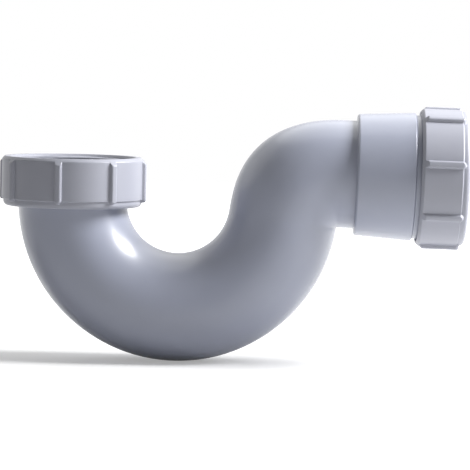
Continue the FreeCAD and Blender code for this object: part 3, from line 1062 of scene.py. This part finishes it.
@dataclass(frozen=True)
class SoftBox:
    """A soft lamp: where it stands round the object, how large it is and how brightly it lights."""

    name: str
    azimuth: float
    elevation: float
    size: Point
    level: float
    distance: float = 0.8

    def stand(self, aim: Vector) -> None:
        """Puts the lamp in the scene, facing the object.

        Args:
            aim: The point that it faces.
        """
        around, up = math.radians(self.azimuth), math.radians(self.elevation)
        away = Vector((math.sin(around) * math.cos(up), -math.cos(around) * math.cos(up), math.sin(up)))
        data = bpy.data.lights.new(self.name, "AREA")
        data.shape = "ELLIPSE"
        data.size, data.size_y = self.size
        data.energy = self.level * (math.pi * self.distance) ** 2
        item = add_object(self.name, data)
        item.location = aim + away * self.distance
        item.rotation_mode = "QUATERNION"
        item.rotation_quaternion = (-away).to_track_quat("-Z", "Y")
        item.visible_camera = False


@dataclass
class Studio:
    """The floor, the lamps and the camera. Azimuths go from the camera's side round by the outlet's."""

    floor_height: float = -0.0797
    floor_radius: float = 1.4
    floor_lift: float = 0.1
    floor_segments: int = 96
    floor_tones: Point = (0.7, 0.74)
    mottle_scale: float = 3.0
    shadow_lift: float = 0.25
    shadow_band: Point = (0.15, 0.7)
    dim_world: float = 0.012
    focal_pixels: float = 2517.3
    distance: float = 1.0
    aim: Vector3 = (0.06479, 0.0, -0.02895)
    pitch: float = 4.08
    yaw: float = -0.7
    roll: float = 1.206
    lamps: tuple[SoftBox, ...] = (
        SoftBox("key", 87.0, 38.0, (0.42, 0.42), 2.3),
        SoftBox("top", 170.0, 64.0, (1.0, 1.0), 0.48),
        SoftBox("low_side", 95.0, 20.0, (0.6, 0.3), 0.22),
        SoftBox("far_side", 250.0, 35.0, (0.6, 0.6), 0.08),
    )

    def make(self) -> None:
        """Sets up everything round the object."""
        self.lay_floor()
        self.light()
        self.stand_camera()

    def stand_camera(self) -> None:
        """Puts the camera at the photograph's viewpoint."""
        data = bpy.data.cameras.new("camera")
        data.sensor_width = SENSOR_WIDTH
        data.lens = self.focal_pixels / PICTURE_WIDTH * SENSOR_WIDTH
        data.clip_start, data.clip_end = CAMERA_REACH
        camera = add_object("camera", data)
        down, aside = math.radians(self.pitch), math.radians(self.yaw)
        back = Vector((-math.sin(aside) * math.cos(down), -math.cos(aside) * math.cos(down), math.sin(down)))
        camera.location = Vector(self.aim) + back * self.distance
        turn = (-back).to_track_quat("-Z", "Y").to_matrix().to_4x4()
        camera.rotation_mode = "QUATERNION"
        camera.rotation_quaternion = (turn @ Matrix.Rotation(math.radians(self.roll), 4, "Z")).to_quaternion()
        bpy.context.scene.camera = camera

    def lay_floor(self) -> None:
        """Lays a round floor under the object, which runs out of sight."""
        work = bmesh.new()
        centre = Matrix.Translation((self.aim[0], 0.0, self.floor_height))
        bmesh.ops.create_circle(work, cap_ends=True, segments=self.floor_segments,
                                radius=self.floor_radius, matrix=centre)
        mesh = bpy.data.meshes.new("floor")
        work.to_mesh(mesh)
        work.free()
        floor = add_object("floor", mesh)
        mesh.materials.append(self.floor_material())

    def seen(self, flow: Flow) -> Value:
        """Whether a ray comes from the camera, a reflection or a clear piece.

        Args:
            flow: The tree that asks.

        Returns:
            1 for such a ray, otherwise 0.
        """
        rays = flow.node("ShaderNodeLightPath").outputs
        direct = Value(flow, rays["Is Camera Ray"]).math("MAXIMUM", rays["Is Glossy Ray"])
        return direct.math("MAXIMUM", rays["Is Transmission Ray"])

    def floor_material(self) -> bpy.types.Material:
        """A pale floor that keeps the shadow, and looks white beside it.

        Returns:
            The material.
        """
        material, flow, place = new_material("pale_floor")
        mottle = flow.noise(place, self.mottle_scale, Detail=2.0)
        pale = flow.blend(mottle, *((tone, tone, tone) for tone in self.floor_tones))
        diffuse = flow.node("ShaderNodeBsdfDiffuse", Color=pale)
        away = flow.value("ShaderNodeVectorMath", {"operation": "DISTANCE"}, out="Value", in_0=place,
                          in_1=(self.aim[0], 0.0, self.floor_height))
        direct = Value(flow, flow.node("ShaderNodeLightPath").outputs["Is Camera Ray"])
        least = direct * self.shadow_lift + self.floor_lift
        lift = away.between(*self.shadow_band) * (1.0 - least) + least
        glow = flow.node("ShaderNodeEmission", Color=(1.0, 1.0, 1.0), Strength=self.seen(flow) * lift)
        both = flow.node("ShaderNodeAddShader", in_0=diffuse.outputs[0], in_1=glow.outputs[0])
        flow.node("ShaderNodeOutputMaterial", Surface=both.outputs[0])
        return material

    def light(self) -> None:
        """Lights the object from soft lamps, before a world that looks white and lights dimly."""
        world = bpy.data.worlds.new("studio")
        bpy.context.scene.world = world
        world.use_nodes = True
        flow = Flow(world.node_tree)
        strength = self.seen(flow) * (1.0 - self.dim_world) + self.dim_world
        back = flow.node("ShaderNodeBackground", Color=(1.0, 1.0, 1.0), Strength=strength)
        flow.node("ShaderNodeOutputWorld", Surface=back.outputs[0])
        for lamp in self.lamps:
            lamp.stand(Vector(self.aim))


def main() -> None:
    """Builds the trap's pieces in order, then the studio round them."""
    shop = Workshop.open()
    outlet = Outlet()
    gloss = MouldedPlastic(
        name="body_plastic", tint=(0.274, 0.293, 0.371), flow_tint=(0.292, 0.311, 0.387),
        roughness=0.38, smudge=0.04, wave_height=0.00003, grain_size=0.0009, grain_height=0.0000012,
        coat=0.7, coat_roughness=0.22, centre=(0.042, 0.0, -0.016), parting_line=0.00006,
    ).build()
    satin = MouldedPlastic(
        name="nut_plastic", tint=(0.322, 0.33, 0.384), flow_tint=(0.34, 0.348, 0.401),
        roughness=0.36, smudge=0.03, wave_height=0.000015, grain_size=0.0006, grain_height=0.0000015,
    ).build()
    ring_plastic = MouldedPlastic(
        name="ring_plastic", tint=(0.7, 0.7, 0.68), flow_tint=(0.72, 0.72, 0.7),
        roughness=0.32, smudge=0.05, wave_height=0.00001, grain_size=0.0005, grain_height=0.000004,
    ).build()
    rubber = MouldedRubber(
        name="seal_rubber", tint=(0.016, 0.016, 0.018), bloom=(0.035, 0.035, 0.037),
        roughness=0.55, grain_size=0.0006, grain_height=0.000015,
    ).build()

    Moulding(shop, gloss, outlet).make()
    upright = Matrix.Translation((0, 0, INLET_NUT_FACE * MM))
    RibbedNut(
        shop, satin, name="inlet_nut", body=Body.INLET_COUPLING,
        place=upright @ Matrix.Rotation(math.radians(INLET_NUT_TURN), 4, "Z"),
        height=19.5, outside=28.15, thread_radius=23.95, thread_length=9.2, mouth=0.9, relief=0.45,
        lip_bore=22.0,
        ridge=Ridge(pitch=2.309, height=1.45, width=2.0, start=10.2, turns=3.4, steps=510),
    ).make()
    TurnedRing(
        shop, rubber, name="inlet_washer", body=Body.TRAP, slot=Slot.WASHER,
        place=Matrix.Translation((0, 0, Moulding.flange_top * MM)),
        outline=[(0.0, 19.2, 0.25), (0.0, 23.3, 0.25), (3.0, 23.3, 0.25), (3.0, 19.2, 0.25)],
    ).make()
    TurnedRing(
        shop, rubber, name="outlet_seal", body=Body.TRAP, slot=Slot.SEAL,
        place=outlet.matrix(SEAL_AT, OUTWARDS),
        outline=[(-2.4, 21.9, 0.08), (-2.4, 22.2, 0.08), (0.0, 23.4, 0.1), (0.0, 24.3, 0.25),
                 (2.7, 24.3, 0.25), (2.7, 21.9, 0.25)],
    ).make()
    TurnedRing(
        shop, ring_plastic, name="outlet_slip_ring", body=Body.SLIP_RING, slot=Slot.RING,
        place=outlet.matrix(SLIP_RING_AT, OUTWARDS),
        outline=[(0.0, 22.0, 0.2), (0.0, 24.95, 0.2), (1.6, 24.95, 0.2), (1.6, 22.0, 0.2)],
    ).make()
    RibbedNut(
        shop, satin, name="outlet_nut", body=Body.OUTLET_COUPLING,
        place=outlet.matrix(OUTLET_NUT_AT, INWARDS, OUTLET_NUT_TURN),
        height=18.9, outside=27.2, thread_radius=25.35, thread_length=10.4, mouth=0.25, relief=0.2,
        lip_bore=22.1,
        ridge=Ridge(pitch=3.0, height=0.82, width=1.5, start=7.81, turns=3.0, steps=450, skip=0.4),
    ).make()
    Studio().make()

    bpy.context.scene.view_settings.view_transform = "Standard"


if __name__ == "__main__":
    logging.basicConfig(level=logging.INFO, format="%(name)s %(message)s", stream=sys.stdout)
    main()
